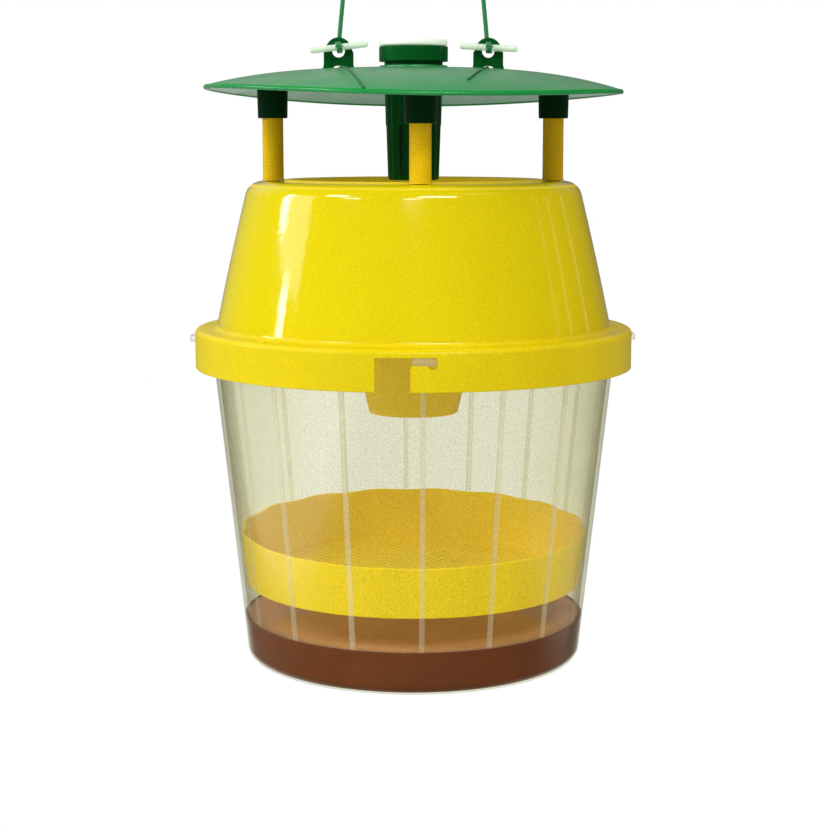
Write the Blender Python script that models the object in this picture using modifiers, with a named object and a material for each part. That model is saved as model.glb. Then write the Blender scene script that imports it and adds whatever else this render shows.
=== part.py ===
"""Hanging pheromone trap for flying insects.

A domed roof hangs from a cord loop. It carries a lure basket and, in four sockets, the posts of a
yellow hood with a funnel. A clear bucket with a sieve and liquid bait locks into the hood's collar.

Metres, +Z up. The origin is where the cord loop bears on the branch or hook that holds the trap.
Every height below is measured up from the foot of the bucket, and level() turns it into world z.
"""

import math

import bmesh
import bpy
from mathutils import Matrix, Vector

MM = 0.001
GAP = 0.3 * MM  # clearance between pieces that touch

# The whole trap
HANG_HEIGHT = 295.5 * MM  # inside top of the cord loop
BIG_STEPS = 48  # facets of the large turned pieces
SMALL_STEPS = 20  # facets of the small turned pieces

# Bucket
BUCKET_FOOT_RADIUS = 65.7 * MM  # where the wall leaves the rounded foot
BUCKET_FOOT_HEIGHT = 5.2 * MM
BUCKET_TOP_RADIUS = 78.7 * MM
BUCKET_TOP = 127.8 * MM
BUCKET_WALL = 1.5 * MM
BUCKET_FLOOR = 1.8 * MM
FOOT_ROUND = 4.5 * MM
RIB_COUNT = 16
RIB_WIDTH = 2.0 * MM
RIB_DEPTH = 0.8 * MM
RIB_TOP = 126.6 * MM
BEAD_HEIGHT = 117.4 * MM
BEAD_DEPTH = 0.5 * MM

# Bait and sieve
BAIT_TOP = 16.4 * MM
SIEVE_TOP = 49.0 * MM
SIEVE_RISE = 1.7 * MM  # the rim stands this much higher on average
SIEVE_SLOPE = 2.2 * MM  # and this much more at the back, less at the front
SIEVE_BOTTOM = 29.5 * MM
SIEVE_TOP_RADIUS = 67.4 * MM
SIEVE_BOTTOM_RADIUS = 65.4 * MM
SIEVE_WALL = 1.6 * MM
SIEVE_FLOOR_TOP = 31.7 * MM
SIEVE_FLOOR_BOTTOM = 30.5 * MM

# Hood and collar
HOOD_TOP = 186.1 * MM
HOOD_OPENING = 48.7 * MM
HOOD_REBATE_RADIUS = 50.2 * MM
HOOD_REBATE_DEPTH = 0.6 * MM
HOOD_SHOULDER_ROUND = 6.5 * MM
HOOD_SHOULDER_RADIUS = 64.9 * MM  # outside of the cone, 6 mm below the top
HOOD_SHOULDER_HEIGHT = 180.1 * MM
HOOD_FOOT_RADIUS = 76.2 * MM
HOOD_FOOT_HEIGHT = 131.0 * MM
HOOD_WALL = 1.8 * MM
COLLAR_RADIUS = 84.6 * MM
COLLAR_WALL = 2.0 * MM
COLLAR_TOP = 130.0 * MM
COLLAR_BOTTOM = 114.9 * MM
COLLAR_ROUND = 2.0 * MM

# Bayonet: a tab on the bucket, a window and a slot in the collar, four times around
BAYONET_COUNT = 4
TAB_RADIUS = 86.7 * MM
TAB_WIDTH = 8.35 * MM
TAB_BOTTOM = 124.6 * MM
TAB_TOP = 126.9 * MM
WINDOW_TURN = -7.55  # degrees from the tab's place when locked
WINDOW_WIDTH = 12.7 * MM
SLOT_BOTTOM = 124.3 * MM
SLOT_TOP = 127.2 * MM
SLOT_LEFT = -6.5 * MM
SLOT_RIGHT = 4.55 * MM
DETENT_WIDTH = 3.1 * MM
DETENT_DEPTH = 1.2 * MM

# Funnel
FUNNEL_LIP_RADIUS = 49.85 * MM
FUNNEL_LIP_TOP = 186.8 * MM
FUNNEL_LIP_BOTTOM = 185.85 * MM
FUNNEL_MOUTH_RADIUS = 48.1 * MM
FUNNEL_MOUTH_HEIGHT = 184.0 * MM
FUNNEL_NECK_RADIUS = 19.4 * MM
FUNNEL_NECK_HEIGHT = 105.3 * MM
FUNNEL_SPOUT_RADIUS = 17.3 * MM
FUNNEL_SPOUT_BOTTOM = 96.2 * MM
FUNNEL_WALL = 1.6 * MM

# Posts and their sockets in the roof
POST_CIRCLE = 53.9 * MM
POST_RADIUS = 4.0 * MM
POST_TOP = 222.3 * MM
POST_LEAD_IN = 0.9 * MM
SPIGOT_RADIUS = 2.3 * MM
SPIGOT_BOTTOM = 179.1 * MM
SOCKET_TOP_RADIUS = 5.9 * MM
SOCKET_BOTTOM_RADIUS = 5.65 * MM
SOCKET_BOTTOMS = {"right": 209.9 * MM, "back": 207.5 * MM, "left": 209.9 * MM, "front": 207.7 * MM}
POST_TURNS = {"right": 0, "back": 90, "left": 180, "front": 270}  # degrees from +X

# Roof: a thin dome whose rim rises to the sides and dips to front and back
ROOF_RADIUS = 80.0 * MM
ROOF_CROWN = 229.0 * MM
ROOF_SHEET = 1.4 * MM
ROOF_RIM = 218.0 * MM  # mean height of the rim's lower edge
ROOF_SADDLE = 1.84 * MM
ROOF_SADDLE_TURN = math.radians(2.5)
ROOF_TILT = 1.16 * MM
ROOF_TILT_TURN = math.radians(-139.0)
ROOF_RINGS = (30, 46.5, 61, 71.5)  # radii of the dome's rings in millimetres, between boss and rim
BOSS_RADIUS = 13.0 * MM
BOSS_TOP = 229.9 * MM
BOSS_BORE = 11.45 * MM

# Lugs on the roof
LUG_PLACE = 28.6 * MM
LUG_THICKNESS = 2.55 * MM
LUG_HALF_WIDTH = 5.5 * MM
LUG_FLARE = 0.35 * MM
LUG_BOTTOM = 227.7 * MM
LUG_FLARE_TOP = 230.15 * MM
LUG_SHOULDER = 235.3 * MM
LUG_HEAD_RADIUS = 4.7 * MM
LUG_HEAD_HEIGHT = 235.5 * MM
LUG_HOLE_RADIUS = 2.4 * MM
LUG_HOLE_HEIGHT = 235.2 * MM
LUG_NOTCH_WIDTH = 4.7 * MM
LUG_NOTCH_TOP = 229.9 * MM

# Lure basket, its stopper and the lure
BASKET_FLANGE_RADIUS = 13.15 * MM
BASKET_TOP = 237.1 * MM
BASKET_FLANGE_BOTTOM = 231.3 * MM
BASKET_NECK_RADIUS = 11.15 * MM
BASKET_TUBE_RADIUS = 10.95 * MM
BASKET_TUBE_HEIGHT = 226.8 * MM
BASKET_FOOT_RADIUS = 9.7 * MM
BASKET_FOOT = 186.5 * MM
BASKET_FLOOR_TOP = 188.0 * MM
BASKET_BORE_TOP = 9.7 * MM
BASKET_BORE_FOOT = 8.3 * MM
BASKET_SLOT_TURNS = (30, 90, 150)  # each cut goes through both sides
BASKET_SLOT_WIDTH = 1.6 * MM
BASKET_SLOT_BOTTOM = 188.4 * MM
BASKET_SLOT_TOP = 207.1 * MM
STOPPER_RADIUS = 12.95 * MM
STOPPER_TOP = 239.6 * MM
STOPPER_UNDER = 237.4 * MM
STOPPER_ROUND = 1.1 * MM
STOPPER_PLUG_RADIUS = 9.3 * MM
STOPPER_PLUG_BOTTOM = 232.6 * MM
SEPTUM_RADIUS = 3.8 * MM
SEPTUM_CUP_RADIUS = 4.2 * MM
SEPTUM_TOP = 205.5 * MM
SEPTUM_CUP_BOTTOM = 199.2 * MM
SEPTUM_BORE = 2.55 * MM
SEPTUM_BORE_BOTTOM = 200.7 * MM

# Toggles and cord
TOGGLE_PLACE = 28.45 * MM
TOGGLE_HEIGHT = 236.5 * MM
TOGGLE_FORWARD = 4.05 * MM
TOGGLE_LENGTH = 22.1 * MM
TOGGLE_RADIUS = 1.15 * MM
TOGGLE_TILTS = {"left": 6.5, "right": -3.0}  # degrees, the end on +X up
WRAP_RADIUS = 1.9 * MM
WRAP_THICKNESS = 0.55 * MM
KNOT_RADIUS = 1.45 * MM
KNOT_FORWARD = 2.8 * MM
CORD_RADIUS = 0.9 * MM
CORD_STEP = 4.5 * MM
# Half of the cord's route in millimetres, from the right lug's hole up to the top of the loop
CORD_ROUTE = (
    (28.45, -1.35, 235.20),
    (28.45, -0.40, 235.25),
    (28.45, 0.60, 235.60),
    (28.45, 1.55, 236.30),
    (28.45, 2.35, 237.50),
    (28.4, 2.75, 239.00),
    (28.2, 2.75, 241.00),
    (27.7, 2.55, 246.00),
    (27.0, 2.20, 253.00),
    (26.3, 1.60, 260.50),
    (25.7, 1.00, 268.00),
    (24.8, 0.60, 276.00),
    (21.2, 0.30, 285.00),
    (14.9, 0.10, 291.50),
    (7.1, 0.00, 295.30),
    (0.0, 0.00, 296.40),
)


def level(height):
    """World z of a height above the foot of the bucket."""
    return height - HANG_HEIGHT


def clear_scene():
    for obj in list(bpy.data.objects):
        bpy.data.objects.remove(obj, do_unlink=True)


def new_collection(name):
    collection = bpy.data.collections.new(name)
    bpy.context.scene.collection.children.link(collection)
    return collection


def material(name, colour, roughness, transmission=0.0):
    made = bpy.data.materials.new(name)
    made.use_nodes = True
    shader = made.node_tree.nodes["Principled BSDF"]
    shader.inputs["Base Color"].default_value = (*colour, 1.0)
    shader.inputs["Roughness"].default_value = roughness
    shader.inputs["Metallic"].default_value = 0.0
    shader.inputs["Transmission Weight"].default_value = transmission
    return made


def add(name, data, finish=None):
    """A new object among the trap's pieces, or a construction solid when it has no finish."""
    obj = bpy.data.objects.new(name, data)
    if finish is None:
        construction.objects.link(obj)
        obj.hide_render = True
        obj.display_type = "WIRE"
    else:
        trap.objects.link(obj)
        obj.data.materials.append(finish)
    return obj


def bake(obj):
    """Replaces an object's modifiers by their result and welds it."""
    bpy.context.view_layer.update()
    graph = bpy.context.evaluated_depsgraph_get()
    mesh = bpy.data.meshes.new_from_object(obj.evaluated_get(graph))
    welder = bmesh.new()
    welder.from_mesh(mesh)
    bmesh.ops.remove_doubles(welder, verts=welder.verts, dist=1e-6)
    welder.to_mesh(mesh)
    welder.free()
    if obj.type == "CURVE":
        made = add(obj.name + "_mesh", mesh)
        made.matrix_world = obj.matrix_world
        bpy.data.objects.remove(obj, do_unlink=True)
        return made
    obj.modifiers.clear()
    obj.data = mesh
    return obj


def arc(radius, height, size, start, end, count):
    """Points of an arc about (radius, height), between two angles in degrees."""
    points = []
    for i in range(count + 1):
        turn = math.radians(start + (end - start) * i / count)
        points.append((radius + size * math.cos(turn), height + size * math.sin(turn)))
    return points


def turned(name, outline, steps, finish=None):
    """A solid of revolution. The outline runs down the outer side, and closes itself off the axis."""
    on_axis = outline[0][0] == 0.0
    mesh = bpy.data.meshes.new(name)
    edges = [(i, i + 1) for i in range(len(outline) - 1)]
    if not on_axis:
        edges.append((len(outline) - 1, 0))
    mesh.from_pydata([(radius, 0.0, level(height)) for radius, height in outline], edges, [])
    obj = add(name, mesh, finish)
    screw = obj.modifiers.new("turn", "SCREW")
    screw.axis = "Z"
    screw.steps = steps
    screw.render_steps = steps
    screw.use_merge_vertices = True
    screw.merge_threshold = 0.00001
    screw.use_smooth_shade = True
    return obj


def block(name, low, high):
    """A box between two corners, as a construction solid."""
    low, high = Vector(low), Vector(high)
    mesh = bpy.data.meshes.new(name)
    maker = bmesh.new()
    place = Matrix.Translation((low + high) / 2) @ Matrix.Diagonal((*(high - low), 1.0))
    bmesh.ops.create_cube(maker, size=1.0, matrix=place)
    maker.to_mesh(mesh)
    maker.free()
    return add(name, mesh)


def cylinder(name, radius, low, high, x, y, sides):
    mesh = bpy.data.meshes.new(name)
    maker = bmesh.new()
    bmesh.ops.create_cone(
        maker,
        cap_ends=True,
        segments=sides,
        radius1=radius,
        radius2=radius,
        depth=high - low,
        matrix=Matrix.Translation((x, y, level((low + high) / 2))),
    )
    maker.to_mesh(mesh)
    maker.free()
    return add(name, mesh)


def combine(obj, other, operation):
    boolean = obj.modifiers.new(other.name, "BOOLEAN")
    boolean.operation = operation
    boolean.object = other


def around(degrees, radius=1.0):
    """The point at an angle from +X on a circle about the axis."""
    return radius * math.cos(math.radians(degrees)), radius * math.sin(math.radians(degrees))


# Bucket, bait and sieve


def bucket_radius(height):
    """Outside of the bucket's straight wall."""
    share = (height - BUCKET_FOOT_HEIGHT) / (BUCKET_TOP - BUCKET_FOOT_HEIGHT)
    return BUCKET_FOOT_RADIUS + share * (BUCKET_TOP_RADIUS - BUCKET_FOOT_RADIUS)


def make_bucket_ribs():
    """The ribs inside the wall and the bayonet tabs outside it, in one construction mesh."""
    maker = bmesh.new()
    low, high = 6.0 * MM, RIB_TOP
    bite = 0.4 * MM
    for i in range(RIB_COUNT):
        cube = bmesh.ops.create_cube(maker, size=1.0)["verts"]
        for vert in cube:
            height = high if vert.co.z > 0 else low
            inner = bucket_radius(height) - BUCKET_WALL
            radius = inner + bite if vert.co.x > 0 else inner - RIB_DEPTH
            vert.co = (radius, vert.co.y * RIB_WIDTH, level(height))
        turn = Matrix.Rotation(2 * math.pi * i / RIB_COUNT, 3, "Z")
        bmesh.ops.rotate(maker, verts=cube, matrix=turn)
    root = bucket_radius(TAB_TOP) - BUCKET_WALL / 2
    size = (TAB_RADIUS - root, TAB_WIDTH, TAB_TOP - TAB_BOTTOM)
    middle = ((TAB_RADIUS + root) / 2, 0.0, level((TAB_TOP + TAB_BOTTOM) / 2))
    for i in range(BAYONET_COUNT):
        place = Matrix.Translation(middle) @ Matrix.Diagonal((*size, 1.0))
        turn = Matrix.Rotation(2 * math.pi * i / BAYONET_COUNT, 4, "Z")
        bmesh.ops.create_cube(maker, size=1.0, matrix=turn @ place)
    mesh = bpy.data.meshes.new("bucket_ribs")
    maker.to_mesh(mesh)
    maker.free()
    return add("bucket_ribs", mesh)


def make_bucket():
    foot = BUCKET_FOOT_RADIUS - FOOT_ROUND
    inner_round = FOOT_ROUND - BUCKET_WALL
    bead = [
        (bucket_radius(BEAD_HEIGHT + 0.8 * MM), BEAD_HEIGHT + 0.8 * MM),
        (bucket_radius(BEAD_HEIGHT) + BEAD_DEPTH, BEAD_HEIGHT + 0.3 * MM),
        (bucket_radius(BEAD_HEIGHT) + BEAD_DEPTH, BEAD_HEIGHT - 0.3 * MM),
        (bucket_radius(BEAD_HEIGHT - 0.8 * MM), BEAD_HEIGHT - 0.8 * MM),
    ]
    outline = [(0.0, BUCKET_FLOOR)]
    outline += arc(foot, BUCKET_FLOOR + inner_round, inner_round, -90, 0, 3)
    outline += [(BUCKET_TOP_RADIUS - BUCKET_WALL, BUCKET_TOP), (BUCKET_TOP_RADIUS, BUCKET_TOP)]
    outline += bead
    outline += arc(foot, FOOT_ROUND, FOOT_ROUND, 0, -90, 3)
    outline.append((0.0, 0.0))
    bucket = turned("bucket", outline, BIG_STEPS, clear_plastic)
    combine(bucket, make_bucket_ribs(), "UNION")


def make_bait():
    """The liquid, drawn in from the wall by the ribs."""
    inset = BUCKET_WALL + RIB_DEPTH + GAP
    outline = [
        (0.0, BAIT_TOP),
        (bucket_radius(BAIT_TOP) - inset, BAIT_TOP),
        (bucket_radius(BUCKET_FOOT_HEIGHT) - inset, 5.2 * MM),
        (BUCKET_FOOT_RADIUS - 3.3 * MM, 3.3 * MM),
        (BUCKET_FOOT_RADIUS - 5.3 * MM, BUCKET_FLOOR + GAP),
        (0.0, BUCKET_FLOOR + GAP),
    ]
    turned("bait_liquid", outline, BIG_STEPS, bait)


def make_sieve():
    floor_radius = SIEVE_BOTTOM_RADIUS - SIEVE_WALL + 0.1 * MM
    outline = [
        (0.0, SIEVE_FLOOR_TOP),
        (floor_radius, SIEVE_FLOOR_TOP),
        (SIEVE_TOP_RADIUS - SIEVE_WALL, SIEVE_TOP),
        (SIEVE_TOP_RADIUS, SIEVE_TOP),
        (SIEVE_BOTTOM_RADIUS, SIEVE_BOTTOM),
        (SIEVE_BOTTOM_RADIUS - SIEVE_WALL, SIEVE_BOTTOM),
        (SIEVE_BOTTOM_RADIUS - SIEVE_WALL, SIEVE_FLOOR_BOTTOM),
        (0.0, SIEVE_FLOOR_BOTTOM),
    ]
    sieve = bake(turned("sieve", outline, BIG_STEPS, yellow))
    for vertex in sieve.data.vertices:
        if vertex.co.z > level(SIEVE_TOP) - 0.1 * MM:
            vertex.co.z += SIEVE_RISE + SIEVE_SLOPE * vertex.co.y / SIEVE_TOP_RADIUS


# Hood, funnel and posts


def hood_corner():
    """Centre of the shoulder's round, and the angle at which it meets the cone, in degrees."""
    run = HOOD_FOOT_RADIUS - HOOD_SHOULDER_RADIUS
    fall = HOOD_SHOULDER_HEIGHT - HOOD_FOOT_HEIGHT
    tilt = math.atan2(run, fall)
    out_r, out_h = math.cos(tilt), math.sin(tilt)
    reach = out_r * HOOD_SHOULDER_RADIUS + out_h * HOOD_SHOULDER_HEIGHT - HOOD_SHOULDER_ROUND
    height = HOOD_TOP - HOOD_SHOULDER_ROUND
    return (reach - out_h * height) / out_r, height, math.degrees(tilt)


def make_hood():
    corner_radius, corner_height, tilt = hood_corner()
    inner_round = HOOD_SHOULDER_ROUND - HOOD_WALL
    ledge = COLLAR_TOP - HOOD_WALL
    lean = math.tan(math.radians(tilt))
    inner_foot = HOOD_FOOT_RADIUS + lean * (HOOD_FOOT_HEIGHT - ledge) - HOOD_WALL
    inner_collar = COLLAR_RADIUS - COLLAR_WALL
    outline = [(HOOD_REBATE_RADIUS, HOOD_TOP)]
    outline += arc(corner_radius, corner_height, HOOD_SHOULDER_ROUND, 90, tilt, 4)
    outline += [(HOOD_FOOT_RADIUS, HOOD_FOOT_HEIGHT), (HOOD_FOOT_RADIUS + MM, COLLAR_TOP)]
    outline += arc(
        COLLAR_RADIUS - COLLAR_ROUND, COLLAR_TOP - COLLAR_ROUND, COLLAR_ROUND, 90, 0, 2
    )
    outline += [(COLLAR_RADIUS, COLLAR_BOTTOM), (inner_collar, COLLAR_BOTTOM)]
    outline += [(inner_collar, ledge), (inner_foot, ledge)]
    outline += arc(corner_radius, corner_height, inner_round, tilt, 90, 3)
    outline += [(HOOD_OPENING, HOOD_TOP - HOOD_WALL)]
    outline += [(HOOD_OPENING, HOOD_TOP - HOOD_REBATE_DEPTH)]
    outline += [(HOOD_REBATE_RADIUS, HOOD_TOP - HOOD_REBATE_DEPTH)]
    hood = turned("hood", outline, BIG_STEPS, yellow)
    for i in range(BAYONET_COUNT):
        for cutter in make_bayonet_cutters(i):
            cutter.rotation_euler.z += 2 * math.pi * i / BAYONET_COUNT
            combine(hood, cutter, "DIFFERENCE")
    for side, turn in POST_TURNS.items():
        x, y = around(turn, POST_CIRCLE)
        name = f"spigot_hole_{side}"
        low, high = HOOD_TOP - 2 * HOOD_WALL, HOOD_TOP + HOOD_WALL
        combine(hood, cylinder(name, SPIGOT_RADIUS + GAP, low, high, x, y, 16), "DIFFERENCE")


def make_bayonet_cutters(i):
    """Window, slot and detent of one bayonet, as boxes that reach through the collar at +X."""
    inside, outside = COLLAR_RADIUS - 2 * COLLAR_WALL + MM, COLLAR_RADIUS + 3 * MM
    below = COLLAR_BOTTOM - MM
    half = WINDOW_WIDTH / 2
    window = block(
        f"window_{i}", (inside, -half, level(below)), (outside, half, level(SLOT_TOP))
    )
    window.rotation_euler.z = math.radians(WINDOW_TURN)
    slot = block(
        f"slot_{i}",
        (inside, SLOT_LEFT, level(SLOT_BOTTOM)),
        (outside, SLOT_RIGHT, level(SLOT_TOP)),
    )
    detent = block(
        f"detent_{i}",
        (inside, SLOT_RIGHT - DETENT_WIDTH, level(SLOT_BOTTOM - DETENT_DEPTH)),
        (outside, SLOT_RIGHT, level(SLOT_BOTTOM + MM)),
    )
    return window, slot, detent


def make_funnel():
    mouth = FUNNEL_MOUTH_RADIUS - FUNNEL_WALL
    outline = [
        (mouth + 0.5 * MM, FUNNEL_LIP_TOP),
        (FUNNEL_LIP_RADIUS, FUNNEL_LIP_TOP),
        (FUNNEL_LIP_RADIUS, FUNNEL_LIP_BOTTOM),
        (FUNNEL_MOUTH_RADIUS + 0.2 * MM, FUNNEL_LIP_BOTTOM),
        (FUNNEL_MOUTH_RADIUS, FUNNEL_MOUTH_HEIGHT),
        (FUNNEL_NECK_RADIUS, FUNNEL_NECK_HEIGHT),
        (FUNNEL_SPOUT_RADIUS, FUNNEL_SPOUT_BOTTOM),
        (FUNNEL_SPOUT_RADIUS - FUNNEL_WALL, FUNNEL_SPOUT_BOTTOM),
        (FUNNEL_NECK_RADIUS - FUNNEL_WALL, FUNNEL_NECK_HEIGHT),
        (mouth, FUNNEL_MOUTH_HEIGHT),
    ]
    turned("funnel", outline, BIG_STEPS, yellow)


def make_posts():
    outline = [
        (0.0, POST_TOP),
        (POST_RADIUS - POST_LEAD_IN, POST_TOP),
        (POST_RADIUS, POST_TOP - POST_LEAD_IN),
        (POST_RADIUS, HOOD_TOP + GAP),
        (SPIGOT_RADIUS, HOOD_TOP + GAP),
        (SPIGOT_RADIUS, SPIGOT_BOTTOM),
        (0.0, SPIGOT_BOTTOM),
    ]
    for side, turn in POST_TURNS.items():
        post = turned(f"post_{side}", outline, SMALL_STEPS, post_yellow)
        post.location.x, post.location.y = around(turn, POST_CIRCLE)


# Roof


def roof_top(x, y):
    """Height of the dome's upper surface above the foot of the bucket."""
    turn = math.atan2(y, x)
    rim = ROOF_RIM + ROOF_SADDLE * math.cos(2 * (turn - ROOF_SADDLE_TURN))
    rim += ROOF_TILT * math.cos(turn - ROOF_TILT_TURN)
    share = math.hypot(x, y) / ROOF_RADIUS
    return ROOF_CROWN - (ROOF_CROWN - rim - ROOF_SHEET) * share**3


def make_socket(side, turn):
    """One socket, whose top ring lies in the middle of the roof's sheet."""
    bottom = SOCKET_BOTTOMS[side]
    bore = POST_RADIUS + GAP
    outline = [
        (bore, ROOF_CROWN),
        (SOCKET_TOP_RADIUS, ROOF_CROWN),
        (SOCKET_BOTTOM_RADIUS, bottom),
        (bore, bottom),
    ]
    socket = bake(turned(f"socket_{side}", outline, SMALL_STEPS))
    x, y = around(turn, POST_CIRCLE)
    for vert in socket.data.vertices:
        if vert.co.z > level(ROOF_CROWN - MM):
            vert.co.z = level(roof_top(vert.co.x + x, vert.co.y + y) - ROOF_SHEET / 2)
    socket.location.x, socket.location.y = x, y
    return socket


def make_lug(side, x):
    """An upright plate with a round head, the cord's hole and an arched notch at its foot."""
    half, notch = LUG_HALF_WIDTH, LUG_NOTCH_WIDTH / 2
    arch = LUG_NOTCH_TOP - LUG_BOTTOM - notch / 2
    outline = [(-half - LUG_FLARE, LUG_BOTTOM), (-notch, LUG_BOTTOM), (-notch, LUG_BOTTOM + arch)]
    outline += [(-notch / 2, LUG_NOTCH_TOP), (notch / 2, LUG_NOTCH_TOP)]
    outline += [(notch, LUG_BOTTOM + arch), (notch, LUG_BOTTOM), (half + LUG_FLARE, LUG_BOTTOM)]
    outline += [(half, LUG_FLARE_TOP), (half, LUG_SHOULDER)]
    outline += arc(0.0, LUG_HEAD_HEIGHT, LUG_HEAD_RADIUS, 20, 160, 8)
    outline += [(-half, LUG_SHOULDER), (-half, LUG_FLARE_TOP)]
    hole = arc(0.0, LUG_HOLE_HEIGHT, LUG_HOLE_RADIUS, 0, 360, 16)[:-1]
    curve = bpy.data.curves.new(f"lug_{side}", "CURVE")
    curve.dimensions = "2D"
    curve.fill_mode = "BOTH"
    curve.extrude = LUG_THICKNESS / 2
    for ring in (outline, hole):
        spline = curve.splines.new("POLY")
        spline.points.add(len(ring) - 1)
        spline.use_cyclic_u = True
        for point, (across, height) in zip(spline.points, ring):
            point.co = (across, level(height), 0.0, 1.0)
    plate = add(f"lug_{side}", curve)
    plate.location.x = x
    plate.rotation_euler.x = math.pi / 2
    return bake(plate)


def make_roof():
    rings = [radius * MM for radius in ROOF_RINGS]
    upper = [BOSS_RADIUS, *rings, ROOF_RADIUS]
    lower = [ROOF_RADIUS, *reversed(rings), BOSS_BORE]
    outline = [(BOSS_BORE, BOSS_TOP), (BOSS_RADIUS, BOSS_TOP)]
    outline += [(radius, ROOF_CROWN) for radius in upper]
    outline += [(radius, ROOF_CROWN - ROOF_SHEET) for radius in lower]
    roof = bake(turned("roof", outline, BIG_STEPS, green))
    for vert in roof.data.vertices:
        vert.co.z += roof_top(vert.co.x, vert.co.y) - ROOF_CROWN
    for side, turn in POST_TURNS.items():
        combine(roof, make_socket(side, turn), "UNION")
    for side, sign in (("left", -1), ("right", 1)):
        combine(roof, make_lug(side, sign * LUG_PLACE), "UNION")


# Lure basket


def make_basket():
    outline = [
        (0.0, BASKET_FLOOR_TOP),
        (BASKET_BORE_FOOT, BASKET_FLOOR_TOP),
        (BASKET_BORE_TOP, BASKET_FLANGE_BOTTOM),
        (BASKET_BORE_TOP, BASKET_TOP),
        (BASKET_FLANGE_RADIUS, BASKET_TOP),
        (BASKET_FLANGE_RADIUS, BASKET_FLANGE_BOTTOM),
        (BASKET_NECK_RADIUS, BASKET_FLANGE_BOTTOM),
        (BASKET_TUBE_RADIUS, BASKET_TUBE_HEIGHT),
        (BASKET_FOOT_RADIUS, BASKET_FOOT),
        (0.0, BASKET_FOOT),
    ]
    basket = turned("basket", outline, 30, dark_green)
    half, reach = BASKET_SLOT_WIDTH / 2, 2 * BASKET_TUBE_RADIUS
    low, high = level(BASKET_SLOT_BOTTOM), level(BASKET_SLOT_TOP)
    for turn in BASKET_SLOT_TURNS:
        cutter = block(f"basket_slot_{turn}", (-reach, -half, low), (reach, half, high))
        cutter.rotation_euler.z = math.radians(turn - 90)
        combine(basket, cutter, "DIFFERENCE")


def make_stopper():
    outline = [(0.0, STOPPER_TOP)]
    outline += arc(
        STOPPER_RADIUS - STOPPER_ROUND, STOPPER_TOP - STOPPER_ROUND, STOPPER_ROUND, 90, 0, 3
    )
    outline += [(STOPPER_RADIUS, STOPPER_UNDER), (STOPPER_PLUG_RADIUS, STOPPER_UNDER)]
    outline += [(STOPPER_PLUG_RADIUS, STOPPER_PLUG_BOTTOM), (0.0, STOPPER_PLUG_BOTTOM)]
    turned("basket_stopper", outline, 30, pale_plastic)


def make_septum():
    """The rubber lure: a small sleeve with a cup at its top."""
    foot = BASKET_FLOOR_TOP + GAP
    outline = [
        (0.0, SEPTUM_BORE_BOTTOM),
        (SEPTUM_BORE, SEPTUM_BORE_BOTTOM),
        (SEPTUM_BORE, SEPTUM_TOP),
        (SEPTUM_CUP_RADIUS, SEPTUM_TOP),
        (SEPTUM_CUP_RADIUS, SEPTUM_CUP_BOTTOM),
        (SEPTUM_RADIUS, SEPTUM_CUP_BOTTOM - 0.8 * MM),
        (SEPTUM_RADIUS, foot),
        (0.0, foot),
    ]
    turned("lure_septum", outline, 14, rubber)


# Cord, knots and toggles


def smooth_route(route, step):
    """Points about a step apart on a smooth curve through the route."""
    ends = [2 * route[0] - route[1], *route, 2 * route[-1] - route[-2]]
    points = []
    for before, start, end, after in zip(ends, ends[1:], ends[2:], ends[3:]):
        count = max(1, round((end - start).length / step))
        for i in range(count):
            t = i / count
            bend = 2 * before - 5 * start + 4 * end - after
            twist = 3 * (start - end) + after - before
            points.append(start + 0.5 * t * (end - before + t * (bend + t * twist)))
    return [*points, route[-1]]


def make_cord():
    half = [Vector((x * MM, y * MM, level(height * MM))) for x, y, height in CORD_ROUTE]
    mirrored = [Vector((-point.x, point.y, point.z)) for point in half]
    points = smooth_route([*mirrored, *reversed(half[:-1])], CORD_STEP)
    curve = bpy.data.curves.new("hanging_cord", "CURVE")
    curve.dimensions = "3D"
    curve.bevel_depth = CORD_RADIUS
    curve.bevel_resolution = 2
    curve.use_fill_caps = True
    spline = curve.splines.new("POLY")
    spline.points.add(len(points) - 1)
    for made, point in zip(spline.points, points):
        made.co = (*point, 1.0)
    add("hanging_cord", curve, green_cord)


def make_toggle(side, x):
    """A rod with round ends behind a knot, tied on by one turn of cord."""
    pivot = Vector((x, -TOGGLE_FORWARD, level(TOGGLE_HEIGHT)))
    tilt = math.radians(TOGGLE_TILTS[side])
    half = TOGGLE_LENGTH / 2 - TOGGLE_RADIUS
    outline = arc(0.0, half, TOGGLE_RADIUS, 90, 0, 3) + arc(0.0, -half, TOGGLE_RADIUS, 0, -90, 3)
    outline = [(max(radius, 0.0), height + HANG_HEIGHT) for radius, height in outline]
    outline[0] = (0.0, outline[0][1])
    outline[-1] = (0.0, outline[-1][1])
    rod = turned(f"toggle_{side}", outline, 12, pale_plastic)
    rod.location = pivot
    rod.rotation_euler = (0.0, math.pi / 2 - tilt, 0.0)
    bpy.ops.mesh.primitive_torus_add(
        major_radius=WRAP_RADIUS,
        minor_radius=WRAP_THICKNESS,
        major_segments=16,
        minor_segments=6,
        location=pivot,
        rotation=(0.0, math.pi / 2 - tilt, 0.0),
    )
    knot = bpy.context.object
    knot.name = f"cord_knot_{side}"
    for collection in list(knot.users_collection):
        collection.objects.unlink(knot)
    trap.objects.link(knot)
    knot.data.materials.append(green_cord)
    ball = bpy.data.meshes.new(f"knot_ball_{side}")
    maker = bmesh.new()
    place = Matrix.Translation(pivot - Vector((0.0, KNOT_FORWARD, 0.0)))
    bmesh.ops.create_uvsphere(
        maker, u_segments=12, v_segments=8, radius=KNOT_RADIUS, matrix=place
    )
    maker.to_mesh(ball)
    maker.free()
    combine(knot, add(ball.name, ball), "UNION")


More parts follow.
